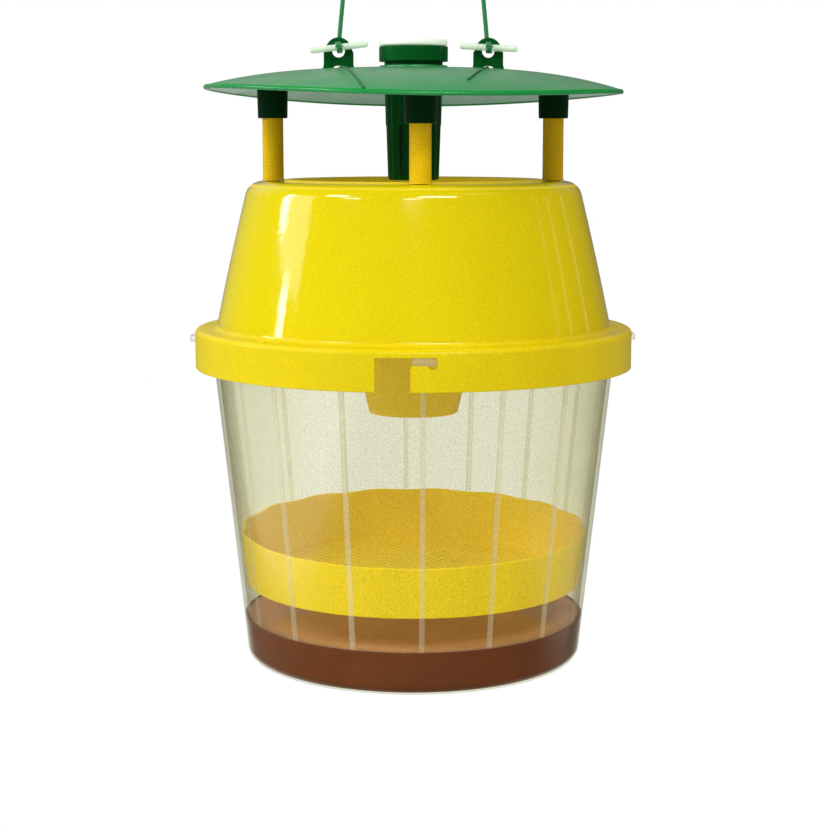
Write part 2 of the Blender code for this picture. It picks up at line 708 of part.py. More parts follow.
clear_scene()
trap = new_collection("pheromone_trap")
construction = new_collection("construction")
yellow = material("yellow_plastic", (0.83, 0.66, 0.02), 0.22)
post_yellow = material("post_yellow_plastic", (0.78, 0.48, 0.02), 0.35)
green = material("green_plastic", (0.0, 0.22, 0.05), 0.3)
dark_green = material("dark_green_plastic", (0.0, 0.1, 0.025), 0.35)
green_cord = material("green_cord", (0.01, 0.22, 0.07), 0.7)
clear_plastic = material("clear_plastic", (0.93, 0.94, 0.87), 0.08, 0.9)
pale_plastic = material("pale_translucent_plastic", (0.8, 0.86, 0.72), 0.3, 0.4)
bait = material("brown_bait", (0.12, 0.04, 0.015), 0.05, 0.3)
rubber = material("lure_rubber", (0.35, 0.06, 0.03), 0.7)
make_bucket()
make_bait()
make_sieve()
make_hood()
make_funnel()
make_posts()
make_roof()
make_basket()
make_stopper()
make_septum()
make_cord()
for side_name, side_sign in (("left", -1), ("right", 1)):
    make_toggle(side_name, side_sign * TOGGLE_PLACE)
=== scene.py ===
"""Detailed visual model of the hanging pheromone trap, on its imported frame."""

import math

import bmesh
import bpy
from mathutils import Matrix, Vector


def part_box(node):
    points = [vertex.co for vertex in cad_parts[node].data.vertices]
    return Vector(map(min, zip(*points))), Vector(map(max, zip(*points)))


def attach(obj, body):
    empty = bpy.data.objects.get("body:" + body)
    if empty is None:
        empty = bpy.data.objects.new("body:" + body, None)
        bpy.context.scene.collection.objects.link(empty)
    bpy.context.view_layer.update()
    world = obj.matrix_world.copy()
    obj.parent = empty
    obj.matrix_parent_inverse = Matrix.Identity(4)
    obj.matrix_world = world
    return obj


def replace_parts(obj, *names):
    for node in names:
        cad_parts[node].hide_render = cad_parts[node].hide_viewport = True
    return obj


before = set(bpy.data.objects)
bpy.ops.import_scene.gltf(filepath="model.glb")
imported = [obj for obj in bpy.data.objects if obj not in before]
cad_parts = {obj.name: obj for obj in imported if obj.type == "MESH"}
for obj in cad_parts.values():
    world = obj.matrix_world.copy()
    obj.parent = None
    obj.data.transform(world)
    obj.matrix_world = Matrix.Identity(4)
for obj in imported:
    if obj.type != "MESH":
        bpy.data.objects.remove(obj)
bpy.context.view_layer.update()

MM = 0.001
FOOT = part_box("bucket")[0][2]  # world z of the bucket's foot. Heights below are mm above it
STEPS = 192  # segments round a turned piece

IMAGE_WIDTH = 827
FOCAL_PIXELS = 1900
SENSOR_MM = 36.0
CAMERA_TURN, CAMERA_TIP = math.radians(-2.6), math.radians(8.339)
CAMERA_REACH, CAMERA_HEIGHT = 0.7379, 203.6

CORD_RADIUS = 0.0009
TOGGLE_X, TOGGLE_Y, TOGGLE_HEIGHT = 28.45, -4.05, 236.5
TOGGLE_HALF = 11.05  # half of a rod's length

ROOF_RADIUS, ROOF_CROWN, ROOF_SHEET = 80.0, 229.0, 1.4
ROOF_RIM = 218.0
ROOF_SADDLE, SADDLE_TURN = 1.84, math.radians(2.5)  # the rim's warp, twice round
ROOF_TILT, TILT_TURN = 1.16, math.radians(-139.0)  # and once round
POST_CIRCLE = 53.9
LUG_X, LUG_HALF, LUG_FOOT = 28.6, 5.5, 227.9
LUG_NOTCH = 2.35  # half of the notch's width in the lug's foot
LUG_EYE, LUG_EYE_HEIGHT = 2.57, 235.2

HOOD_SHOULDER, SHOULDER_HEIGHT = 64.9, 180.1
HOOD_FOOT, FOOT_HEIGHT = 76.2, 131.0
HOOD_TOP, HOOD_CORNER, HOOD_INNER_CORNER = 186.1, 6.5, 4.7
COLLAR_RADIUS = 84.6
BAYONETS = 4

WALL = 1.5
WALL_LOW, WALL_HIGH = (65.7, 5.2), (78.7, 127.8)  # radius and height of the bucket's outer wall
BUCKET_FOOT = 61.2  # radius where the bucket's rounded foot begins
RIBS = 16
SIEVE_RISE, SIEVE_SLOPE = 1.7, 2.2  # the sieve sits askew: its rim is raised, most at the back
BAIT_TOP = 16.35
FLOOR_DROP = 0.45


def level(height):
    """World z of a height in millimetres above the bucket's foot."""
    return FOOT + height * MM


def clamp(value, low=0.0, high=1.0):
    return max(low, min(high, value))


def ease(value, start, end):
    """A smooth step from 0 at start to 1 at end."""
    share = clamp((value - start) / (end - start))
    return share * share * (3 - 2 * share)


# Camera


def make_camera():
    """Level with the entry gap and a little to the left, tipped down towards the bucket."""
    data = bpy.data.cameras.new("camera")
    data.sensor_width = SENSOR_MM
    data.lens = FOCAL_PIXELS / IMAGE_WIDTH * SENSOR_MM
    data.clip_start = 0.01
    data.clip_end = 60.0
    camera = bpy.data.objects.new("camera", data)
    bpy.context.scene.collection.objects.link(camera)
    camera.location = (
        math.sin(CAMERA_TURN) * CAMERA_REACH,
        -math.cos(CAMERA_TURN) * CAMERA_REACH,
        level(CAMERA_HEIGHT),
    )
    camera.rotation_euler = (math.pi / 2 - CAMERA_TIP, 0.0, CAMERA_TURN)
    bpy.context.scene.camera = camera


# Node helpers


def add_shader(tree, kind, colour=None, **values):
    """A shader node with its colour and its other sockets set."""
    made = tree.nodes.new(f"ShaderNode{kind}")
    if colour:
        made.inputs["Color"].default_value = (*colour, 1.0)
    for name, value in values.items():
        made.inputs[name].default_value = value
    return made


def span(tree, source, start, end, low, high, smooth=False):
    """Turns start to end into low to high, and holds it there outside them."""
    made = tree.nodes.new("ShaderNodeMapRange")
    if smooth:
        made.interpolation_type = "SMOOTHSTEP"
    names = ("From Min", "From Max", "To Min", "To Max")
    for name, value in zip(names, (start, end, low, high)):
        made.inputs[name].default_value = value
    tree.links.new(source, made.inputs["Value"])
    return made.outputs["Result"]


def combine(tree, operation, *sources):
    """A Math node over sockets or plain numbers."""
    made = tree.nodes.new("ShaderNodeMath")
    made.operation = operation
    for socket, source in zip(made.inputs, sources):
        if isinstance(source, float):
            socket.default_value = source
        else:
            tree.links.new(source, socket)
    return made.outputs["Value"]


def blend(tree, share, first, second):
    """The first shader where share is 0, the second where it is 1."""
    made = tree.nodes.new("ShaderNodeMixShader")
    if isinstance(share, float):
        made.inputs["Fac"].default_value = share
    else:
        tree.links.new(share, made.inputs["Fac"])
    tree.links.new(first.outputs[0], made.inputs[1])
    tree.links.new(second.outputs[0], made.inputs[2])
    return made


def facing(tree):
    """How far the surface is turned away from the line of sight, for gloss and depth of tint."""
    made = tree.nodes.new("ShaderNodeLayerWeight")
    made.inputs["Blend"].default_value = 0.5
    return made.outputs["Facing"]


# Materials


class Finish:
    """A procedural material and short ways to add nodes to it."""

    def __init__(self, name):
        self.material = bpy.data.materials.new(name)
        self.material.use_nodes = True
        self.tree = self.material.node_tree
        self.shader = self.tree.nodes["Principled BSDF"]
        self.output = self.tree.nodes["Material Output"]
        self.place = self.tree.nodes.new("ShaderNodeTexCoord").outputs["Object"]

    def node(self, kind, **values):
        made = self.tree.nodes.new(kind)
        for name, value in values.items():
            setattr(made, name, value)
        return made

    def link(self, start, end):
        self.tree.links.new(start, end)

    def grain(self, scale, detail=3.0, roughness=0.5, stretch=(1, 1, 1)):
        mapping = self.node("ShaderNodeMapping")
        mapping.inputs["Scale"].default_value = stretch
        self.link(self.place, mapping.inputs["Vector"])
        made = self.node("ShaderNodeTexNoise")
        made.inputs["Scale"].default_value = scale
        made.inputs["Detail"].default_value = detail
        made.inputs["Roughness"].default_value = roughness
        self.link(mapping.outputs["Vector"], made.inputs["Vector"])
        return made.outputs["Fac"]

    def ramp(self, source, *stops):
        made = self.node("ShaderNodeValToRGB")
        points = made.color_ramp.elements
        while len(points) < len(stops):
            points.new(0.5)
        for point, (place, colour) in zip(points, stops):
            point.position = place
            point.color = (*colour, 1.0) if len(colour) == 3 else colour
        self.link(source, made.inputs["Fac"])
        return made.outputs["Color"]

    def multiply(self, first, second, share=1.0):
        """The product of two colours, each a socket or a plain colour."""
        made = self.node("ShaderNodeMix", data_type="RGBA", blend_type="MULTIPLY")
        for name, value in (("Factor", share), ("A", first), ("B", second)):
            if isinstance(value, float):
                made.inputs[name].default_value = value
            elif isinstance(value, tuple):
                made.inputs[name].default_value = (*value, 1.0)
            else:
                self.link(value, made.inputs[name])
        return made.outputs["Result"]

    def scaled(self, source, low, high):
        """A grain spread over low to high."""
        return span(self.tree, source, 0.3, 0.7, low, high)

    def bump(self, source, strength, distance, shader=None):
        made = self.node("ShaderNodeBump")
        made.inputs["Strength"].default_value = strength
        made.inputs["Distance"].default_value = distance
        self.link(source, made.inputs["Height"])
        self.link(made.outputs["Normal"], (shader or self.shader).inputs["Normal"])


def shade(colour, share):
    return tuple(clamp(part * share) for part in colour)


def plastic(name, colour, roughness, specks=0.06, wave=0.05, gloss=0.5, glow=0.0):
    """Moulded plastic: broad flow marks, fine specks, a soft orange-peel and uneven gloss, and a
    painted glow where glow is above 0.
    """
    made = Finish(name)
    flow = made.grain(28.0, 2.0, 0.5, (1, 1, 0.35))
    speck = made.grain(1500.0, 2.0, 0.6)
    broad = made.ramp(flow, (0.3, shade(colour, 1 - wave)), (0.7, shade(colour, 1 + wave)))
    fine = made.ramp(speck, (0.3, (1 - specks,) * 3), (0.7, (1 + specks,) * 3))
    tone = made.multiply(broad, fine)
    made.link(tone, made.shader.inputs["Base Color"])
    uneven = made.scaled(made.grain(90.0), roughness * 0.85, roughness * 1.2)
    made.link(uneven, made.shader.inputs["Roughness"])
    made.shader.inputs["Specular IOR Level"].default_value = gloss
    # painted light: an emission in the plastic's own tone, of strength glow, stands for light
    # coming through the plastic
    made.link(tone, made.shader.inputs["Emission Color"])
    made.shader.inputs["Emission Strength"].default_value = glow
    made.bump(made.grain(420.0, 2.0), 0.05, 0.0006)
    return made


def translucent_plastic(name, colour, through):
    """Natural plastic: the share through of its look is light passing it."""
    # its last number, 0.15, is a painted glow: painted light standing for light coming through the
    # plastic
    made = plastic(name, colour, 0.3, 0.03, 0.03, 0.4, 0.15)
    tree = made.tree
    scatter = add_shader(tree, "BsdfTranslucent", colour)
    straight = add_shader(tree, "BsdfTransparent", (0.95, 0.98, 0.93))
    passing = blend(tree, 0.5, scatter, straight)
    whole = blend(tree, through, made.shader, passing)
    made.link(whole.outputs["Shader"], made.output.inputs["Surface"])
    return made


def clear_plastic(name, tint, haze, haze_colour, specks):
    """Clear moulded plastic: tinted, a little hazy and speckled, with a glossy skin. Its haze
    carries a painted glow.

    Light on its way to other pieces passes it unhindered.
    """
    made = Finish(name)
    tree = made.tree
    milk = blend(
        tree,
        0.5,
        add_shader(tree, "BsdfDiffuse", haze_colour),
        add_shader(tree, "BsdfTranslucent", haze_colour),
    )
    # painted light: an emission in the haze colour lightens the haze, standing for light scattered
    # in it
    spread = add_shader(tree, "Emission", haze_colour, Strength=0.35)
    fog_with_painted_glow = made.node("ShaderNodeAddShader")
    made.link(milk.outputs["Shader"], fog_with_painted_glow.inputs[0])
    made.link(spread.outputs["Emission"], fog_with_painted_glow.inputs[1])
    speck = made.grain(1500.0, 3.0, 0.75)
    colour = made.ramp(
        speck, (0.36, shade(tint, 1 - specks)), (0.56, tint), (0.74, shade(tint, 1.05))
    )
    deep = span(tree, facing(tree), 0.15, 1.0, 0.0, 0.85)
    see_through = add_shader(tree, "BsdfTransparent")
    made.link(made.multiply(colour, (0.86, 0.855, 0.76), deep), see_through.inputs["Color"])
    streak = made.grain(70.0, 3.0, 0.6, (1, 1, 0.12))
    body = blend(tree, made.scaled(streak, haze * 0.7, haze * 1.35), see_through, fog_with_painted_glow)
    gloss = add_shader(tree, "BsdfGlossy", Roughness=0.14)
    schlick = combine(tree, "POWER", facing(tree), 5.0)
    skin = blend(tree, span(tree, schlick, 0.0, 1.0, 0.035, 0.6), body, gloss)
    rays = made.node("ShaderNodeLightPath").outputs
    lighting = combine(tree, "MAXIMUM", rays["Is Shadow Ray"], rays["Is Diffuse Ray"])
    whole = blend(tree, lighting, skin, add_shader(tree, "BsdfTransparent"))
    made.link(whole.outputs["Shader"], made.output.inputs["Surface"])
    made.bump(made.grain(60.0, 2.0, 0.5, (1, 1, 0.2)), 0.1, 0.0006, gloss)
    return made


def liquid(name, colour, roughness):
    made = Finish(name)
    cloud = made.grain(55.0, 3.0, 0.6)
    tone = made.ramp(cloud, (0.3, shade(colour, 0.9)), (0.7, shade(colour, 1.1)))
    made.link(tone, made.shader.inputs["Base Color"])
    made.shader.inputs["Roughness"].default_value = roughness
    made.shader.inputs["IOR"].default_value = 1.36
    made.bump(made.grain(25.0, 1.0), 0.02, 0.001)
    return made


def twine(name, colour):
    made = Finish(name)
    fibre = made.grain(2600.0, 4.0, 0.7, (1, 1, 0.25))
    tone = made.ramp(fibre, (0.3, shade(colour, 0.55)), (0.7, shade(colour, 1.35)))
    made.link(tone, made.shader.inputs["Base Color"])
    made.shader.inputs["Roughness"].default_value = 0.6
    made.shader.inputs["Sheen Weight"].default_value = 0.3
    made.bump(fibre, 0.35, 0.0003)
    return made


def rubber_finish(name, colour):
    made = Finish(name)
    tone = made.ramp(
        made.grain(500.0), (0.3, shade(colour, 0.8)), (0.7, shade(colour, 1.2))
    )
    made.link(tone, made.shader.inputs["Base Color"])
    made.shader.inputs["Roughness"].default_value = 0.75
    made.bump(made.grain(1800.0), 0.2, 0.0003)
    return made


# Mesh making


def new_piece(name, mesh, body, finish, angle=40):
    obj = bpy.data.objects.new(name, mesh)
    bpy.context.scene.collection.objects.link(obj)
    for one in finish if isinstance(finish, (list, tuple)) else [finish]:
        mesh.materials.append(one.material)
    mesh.shade_smooth()
    mesh.set_sharp_from_angle(angle=math.radians(angle))
    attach(obj, body)
    return obj


def weigh(obj):
    """Keeps flat faces flat up to their rounded edges."""
    normals = obj.modifiers.new("normals", "WEIGHTED_NORMAL")
    normals.keep_sharp = True
    normals.weight = 50
    return obj


def rounded(points, size=0.4, closed=True, count=3):
    """The outline with each corner turned into a small arc.

    A point's third number, if any, is its own size.
    """
    made = []
    total = len(points)
    for i, point in enumerate(points):
        here = Vector(point[:2])
        reach = point[2] if len(point) > 2 else size
        if not closed and i in (0, total - 1):
            made.append(tuple(here))
            continue
        before = Vector(points[i - 1][:2]) - here
        after = Vector(points[(i + 1) % total][:2]) - here
        reach = min(reach, before.length * 0.45, after.length * 0.45)
        if reach < 0.02:
            made.append(tuple(here))
            continue
        start, end = here + before.normalized() * reach, here + after.normalized() * reach
        for step in range(count + 1):
            t = step / count
            spot = start * (1 - t) ** 2 + here * 2 * t * (1 - t) + end * t * t
            made.append(tuple(spot))
    return made


def arc(radius, height, size, start, end, count):
    points = []
    for i in range(count + 1):
        turn = math.radians(start + (end - start) * i / count)
        points.append((radius + size * math.cos(turn), height + size * math.sin(turn), 0.0))
    return points


def lathe_mesh(name, outline, steps=STEPS, closed=True, shape=None, faces=None):
    """Turns an outline that runs down its outer side. shape(r, h, turn) may change each point."""
    verts, rings = [], []
    for radius, height in (point[:2] for point in outline):
        if radius < 1e-6:
            rings.append([len(verts)])
            verts.append((0.0, 0.0, level(height)))
            continue
        ring = []
        for k in range(steps):
            turn = 2 * math.pi * k / steps
            r, h = shape(radius, height, turn) if shape else (radius, height)
            ring.append(len(verts))
            verts.append((r * MM * math.cos(turn), r * MM * math.sin(turn), level(h)))
        rings.append(ring)
    pairs = list(zip(rings, rings[1:]))
    if closed:
        pairs.append((rings[-1], rings[0]))
    made, marks = [], []
    for band, (upper, lower) in enumerate(pairs):
        if len(upper) == len(lower) == 1:
            continue
        for k in range(steps):
            after = (k + 1) % steps
            if len(upper) == 1:
                made.append((upper[0], lower[k], lower[after]))
            elif len(lower) == 1:
                made.append((upper[k], lower[0], upper[after]))
            else:
                made.append((upper[k], lower[k], lower[after], upper[after]))
            marks.append(band)
    mesh = bpy.data.meshes.new(name)
    mesh.from_pydata(verts, [], made)
    mesh.update()
    if faces:
        for polygon, band in zip(mesh.polygons, marks):
            a, b = outline[band], outline[(band + 1) % len(outline)]
            polygon.material_index = faces((a[0] + b[0]) / 2, (a[1] + b[1]) / 2)
    return mesh


def lathe(name, outline, body, finish, steps=STEPS, closed=True, shape=None, faces=None):
    mesh = lathe_mesh(name, outline, steps, closed, shape, faces)
    return weigh(new_piece(name, mesh, body, finish))


def moved(mesh, offset=(0, 0, 0), turn=None):
    matrix = Matrix.Translation(Vector(offset))
    if turn is not None:
        matrix = matrix @ turn
    mesh.transform(matrix)
    return mesh


def cut(obj, cutters):
    """Subtracts the cutter meshes from the object and keeps the result as its mesh."""
    helpers = []
    for mesh in cutters:
        helper = bpy.data.objects.new("cutter", mesh)
        bpy.context.scene.collection.objects.link(helper)
        helpers.append(helper)
        boolean = obj.modifiers.new("cut", "BOOLEAN")
        boolean.operation = "DIFFERENCE"
        boolean.solver = "EXACT"
        boolean.object = helper
    weighted = [m for m in obj.modifiers if m.type == "WEIGHTED_NORMAL"]
    for modifier in weighted:
        obj.modifiers.remove(modifier)
    bpy.context.view_layer.update()
    graph = bpy.context.evaluated_depsgraph_get()
    mesh = bpy.data.meshes.new_from_object(obj.evaluated_get(graph))
    obj.modifiers.clear()
    obj.data = mesh
    for helper in helpers:
        bpy.data.objects.remove(helper, do_unlink=True)
    mesh.set_sharp_from_angle(angle=math.radians(35))
    return weigh(obj)


def sweep_mesh(name, points, section, twist=0.0, closed=False):
    """A tube along points. section(turn) is its radius in metres; twist is turns per metre."""
    count = 15
    verts, faces = [], []
    tangents = []
    total = len(points)
    for i in range(total):
        if closed:
            ahead, behind = points[(i + 1) % total], points[i - 1]
        else:
            ahead, behind = points[min(i + 1, total - 1)], points[max(i - 1, 0)]
        tangents.append((ahead - behind).normalized())
    side = tangents[0].orthogonal().normalized()
    run = 0.0
    for i in range(total):
        if i:
            run += (points[i] - points[i - 1]).length
            side = tangents[i - 1].rotation_difference(tangents[i]) @ side
        side = (side - tangents[i] * side.dot(tangents[i])).normalized()
        up = tangents[i].cross(side)
        for k in range(count):
            turn = 2 * math.pi * k / count
            radius = section(turn + 2 * math.pi * twist * run)
            verts.append(
                points[i] + side * radius * math.cos(turn) + up * radius * math.sin(turn)
            )
    last = total if closed else total - 1
    for i in range(last):
        for k in range(count):
            a, b = i * count + k, i * count + (k + 1) % count
            c, d = (a + count) % len(verts), (b + count) % len(verts)
            faces.append((a, b, d, c))
    if not closed:
        faces.append(tuple(reversed(range(count))))
        faces.append(tuple(range(len(verts) - count, len(verts))))
    mesh = bpy.data.meshes.new(name)
    mesh.from_pydata([tuple(vert) for vert in verts], [], faces)
    mesh.update()
    return mesh


def taken_from(maker, name):
    """The maker's geometry as a mesh."""
    mesh = bpy.data.meshes.new(name)
    maker.to_mesh(mesh)
    maker.free()
    return mesh


def join_meshes(name, meshes):
    maker = bmesh.new()
    for mesh in meshes:
        maker.from_mesh(mesh)
    return taken_from(maker, name)


def skin_over(maker, rings):
    """Closes a solid over rings of points, each a list of world positions."""
    loops = [[maker.verts.new(spot) for spot in ring] for ring in rings]
    count = len(loops[0])
    for lower, upper in zip(loops, loops[1:]):
        for k in range(count):
            after = (k + 1) % count
            maker.faces.new((lower[k], lower[after], upper[after], upper[k]))
    maker.faces.new(loops[0])
    maker.faces.new(loops[-1])


def turned_about(radius, across, height, turn):
    """World position of a point radius out and across to the left of a direction."""
    x = radius * math.cos(turn) - across * math.sin(turn)
    y = radius * math.sin(turn) + across * math.cos(turn)
    return x * MM, y * MM, level(height)


def smooth_route(route, step):
    """Points about a step apart on a smooth curve through the route."""
    ends = [2 * route[0] - route[1], *route, 2 * route[-1] - route[-2]]
    points = []
    for before, start, end, after in zip(ends, ends[1:], ends[2:], ends[3:]):
        count = max(1, round((end - start).length / step))
        for i in range(count):
            t = i / count
            bend = 2 * before - 5 * start + 4 * end - after
            twist = 3 * (start - end) + after - before
            points.append(start + 0.5 * t * (end - before + t * (bend + t * twist)))
    return [*points, route[-1]]


# Cord

CORD_ROUTE = (
    (28.45, -1.35, 235.20),
    (28.45, -0.40, 235.25),
    (28.45, 0.60, 235.60),
    (28.45, 1.55, 236.30),
    (28.45, 2.35, 237.50),
    (28.4, 2.75, 239.00),
    (28.2, 2.75, 241.00),
    (27.7, 2.55, 246.00),
    (27.0, 2.20, 253.00),
    (26.3, 1.60, 260.50),
    (25.7, 1.00, 268.00),
    (24.8, 0.60, 276.00),
    (21.2, 0.30, 285.00),
    (14.9, 0.10, 291.50),
    (7.1, 0.00, 295.30),
    (0.0, 0.00, 296.40),
)


def strand(size):
    """Cross-section of a three-strand twine."""
    return lambda turn: size * (0.84 + 0.16 * abs(math.cos(1.5 * turn)))


def make_cord():
    half = [Vector((x * MM, y * MM, level(h))) for x, y, h in CORD_ROUTE]
    mirrored = [Vector((-p.x, p.y, p.z)) for p in half]
    points = smooth_route([*mirrored, *reversed(half[:-1])], 0.0011)
    points = points[::-1]
    mesh = sweep_mesh("cord_loop", points, strand(CORD_RADIUS), twist=160.0)
    piece = new_piece("cord_loop", mesh, "roof", cord_green, 70)
    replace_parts(piece, "hanging_cord")


def make_toggle(side, sign, tilt):
    """The rod, the two turns of twine around it and the knot in front."""
    pivot = Vector((sign * TOGGLE_X * MM, TOGGLE_Y * MM, level(TOGGLE_HEIGHT)))
    lean = Matrix.Rotation(math.pi / 2 - math.radians(tilt), 4, "Y")
    half = TOGGLE_HALF
    outline = [(0.0, half)]
    outline += [(0.45, half - 0.02), (0.85, half - 0.25), (1.06, half - 0.7), (1.1, half - 1.4)]
    outline += [(1.15, 3.0), (1.15, -3.0)]
    outline += [(1.1, -half + 1.4), (1.06, -half + 0.7), (0.85, -half + 0.25)]
    outline += [(0.45, -half + 0.02), (0.0, -half)]

    def seam(radius, height, turn):
        ridge = 0.07 * math.exp(-((math.sin(turn)) ** 2) / 0.02)
        return radius + ridge, height

    mesh = lathe_mesh(f"rod_{side}", outline, 40, False, seam)
    moved(mesh, (0, 0, -FOOT))
    moved(mesh, pivot, lean)
    rod = new_piece(f"rod_{side}", mesh, f"toggle_{side}", pale)
    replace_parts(rod, f"toggle_{side}")
    coil = []  # two turns of twine
    for i in range(61):
        turn = 2 * math.pi * (i / 60 * 2.0) + math.pi / 2
        spot = Vector((1.72 * math.cos(turn), 1.72 * math.sin(turn), (i / 60 - 0.5) * 2.1))
        coil.append(spot * MM)
    knot = []  # a trefoil
    for i in range(72):
        t = 2 * math.pi * i / 72
        x = math.sin(t) + 2 * math.sin(2 * t)
        y = math.cos(t) - 2 * math.cos(2 * t)
        z = -math.sin(3 * t)
        knot.append(Vector((x * 0.33, z * 0.62 - 2.75, y * 0.33)) * MM)
    tail = smooth_route(
        [Vector(p) * MM for p in ((0, -1.9, -0.7), (0.5, -3.1, -1.3), (0.9, -3.3, -2.3))],
        0.0003,
    )
    meshes = [sweep_mesh("turns", coil, strand(0.0005), 300.0)]
    moved(meshes[0], (0, 0, 0), lean)
    meshes.append(sweep_mesh("knot", knot, strand(0.00052), 300.0, True))
    meshes.append(sweep_mesh("tail", tail, strand(0.00045), 300.0))
    mesh = moved(join_meshes(f"knot_{side}", meshes), pivot)
    tied = new_piece(f"knot_{side}", mesh, f"toggle_{side}", cord_green, 70)
    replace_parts(tied, f"cord_knot_{side}")


# Roof


def roof_top(x, y):
    """Height of the roof's upper face, which is a little warped, as in the photo."""
    turn = math.atan2(y, x)
    rim = ROOF_RIM + ROOF_SADDLE * math.cos(2 * (turn - SADDLE_TURN))
    rim += ROOF_TILT * math.cos(turn - TILT_TURN)
    share = math.hypot(x, y) / ROOF_RADIUS
    return ROOF_CROWN - (ROOF_CROWN - rim - ROOF_SHEET) * share**3


def make_roof():
    def domed(radius, height, turn):
        x, y = radius * math.cos(turn), radius * math.sin(turn)
        return radius, height + roof_top(x, y) - ROOF_CROWN

    under = ROOF_CROWN - ROOF_SHEET
    outline = [(11.45, 229.9), (13.0, 229.9), (13.05, ROOF_CROWN, 0.3)]
    outline += [(14 + 2.2 * i, ROOF_CROWN, 0.0) for i in range(30)]
    outline += [(ROOF_RADIUS, ROOF_CROWN, 0.5), (ROOF_RADIUS, under, 0.5)]
    outline += [(78 - 2.6 * i, under, 0.0) for i in range(25)]
    outline += [(11.45, under)]
    dome = lathe("roof_dome", rounded(outline), "roof", green, shape=domed)
    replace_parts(dome, "roof")
    rim = []
    for i in range(240):
        turn = 2 * math.pi * i / 240
        x, y = 79.1 * math.cos(turn), 79.1 * math.sin(turn)
        rim.append(Vector((x * MM, y * MM, level(roof_top(x, y) - 0.75))))
    bead = sweep_mesh("roof_edge", rim, lambda turn: 0.00088, closed=True)
    new_piece("roof_edge", bead, "roof", rim_green, 70)


# Turn in degrees, and height of the socket's lower edge
SOCKETS = {
    "right": (0, 209.9),
    "back": (90, 207.5),
    "left": (180, 209.9),
    "front": (270, 207.7),
}


def make_sockets():
    for side, (degrees, bottom) in SOCKETS.items():
        x = POST_CIRCLE * math.cos(math.radians(degrees))
        y = POST_CIRCLE * math.sin(math.radians(degrees))

        def joined(radius, height, turn):
            if height < 224:
                return radius, height
            spot_x, spot_y = x + radius * math.cos(turn), y + radius * math.sin(turn)
            return radius, roof_top(spot_x, spot_y) - 0.7

        outline = [
            (4.3, 225.0, 0.0),
            (5.95, 225.0, 0.0),
            (5.88, 220.0, 0.0),
            (5.65, bottom, 0.35),
            (4.35, bottom, 0.25),
            (4.3, 219.0, 0.0),
        ]
        mesh = lathe_mesh(f"socket_{side}", rounded(outline), 56, True, joined)
        moved(mesh, (x * MM, y * MM, 0))
        # painted shade: the sockets, part of the roof and hanging under it, take a far darker
        # green than the roof's own
        weigh(new_piece(f"socket_{side}", mesh, "roof", socket_green_painted_shade))


def make_lugs():
    """Upright plates with a round head and an eye, on flared, notched feet."""
    for side, sign in (("left", -1), ("right", 1)):
        half, notch, foot = LUG_HALF, LUG_NOTCH, LUG_FOOT
        outline = [(-half - 0.9, foot), (-notch, foot), (-notch, 228.9)]
        outline += [(-notch * 0.75, 229.6), (-notch * 0.35, 229.9), (notch * 0.35, 229.9)]
        outline += [(notch * 0.75, 229.6), (notch, 228.9), (notch, foot)]
        outline += [(half + 0.9, foot), (half + 0.25, 229.0), (half, 230.2), (half, 234.6)]
        for i in range(21):
            turn = math.radians(12 + 156 * i / 20)
            outline.append((4.75 * math.cos(turn), 235.45 + 4.75 * math.sin(turn)))
        outline += [(-half, 234.6), (-half, 230.2), (-half - 0.25, 229.0)]
        curve = bpy.data.curves.new(f"lug_{side}", "CURVE")
        curve.dimensions = "2D"
        curve.fill_mode = "BOTH"
        curve.extrude = 1.1 * MM
        curve.bevel_depth = 0.17 * MM
        curve.bevel_resolution = 2
        hole = []
        for i in range(40):
            turn = 2 * math.pi * i / 40
            across, up = LUG_EYE * math.cos(turn), LUG_EYE * math.sin(turn)
            hole.append((across, LUG_EYE_HEIGHT + up))
        for ring in (outline, hole):
            spline = curve.splines.new("POLY")
            spline.points.add(len(ring) - 1)
            spline.use_cyclic_u = True
            for point, (across, height) in zip(spline.points, ring):
                point.co = (across * MM, level(height), 0.0, 1.0)
        helper = bpy.data.objects.new("helper", curve)
        bpy.context.scene.collection.objects.link(helper)
        bpy.context.view_layer.update()
        graph = bpy.context.evaluated_depsgraph_get()
        mesh = bpy.data.meshes.new_from_object(helper.evaluated_get(graph))
        bpy.data.objects.remove(helper, do_unlink=True)
        maker = bmesh.new()
        maker.from_mesh(mesh)
        bmesh.ops.remove_doubles(maker, verts=maker.verts, dist=2e-6)
        maker.to_mesh(mesh)
        maker.free()
        mesh.materials.clear()
        moved(mesh, (sign * LUG_X * MM, 0, 0), Matrix.Rotation(math.pi / 2, 4, "X"))
        weigh(new_piece(f"lug_{side}", mesh, "roof", basket_green))


def make_roof_lines():
    """A fine raised line from each lug's foot, curving in and forward to the rim."""
    for side, sign, slant, bend, reach in (
        ("left", -1, 2.6, 5.2, 73.0),
        ("right", 1, 4.0, 8.0, 62.0),
    ):
        points = []
        for i in range(60):
            t = i / 59
            x = sign * (28.3 - (slant + bend * t) * t)
            y = -3.0 - reach * t
            points.append(Vector((x * MM, y * MM, level(roof_top(x, y) + 0.12))))
        mesh = sweep_mesh(f"roof_line_{side}", points, lambda turn: 0.0005)
        new_piece(f"roof_line_{side}", mesh, "roof", line_green, 70)


# Lure basket


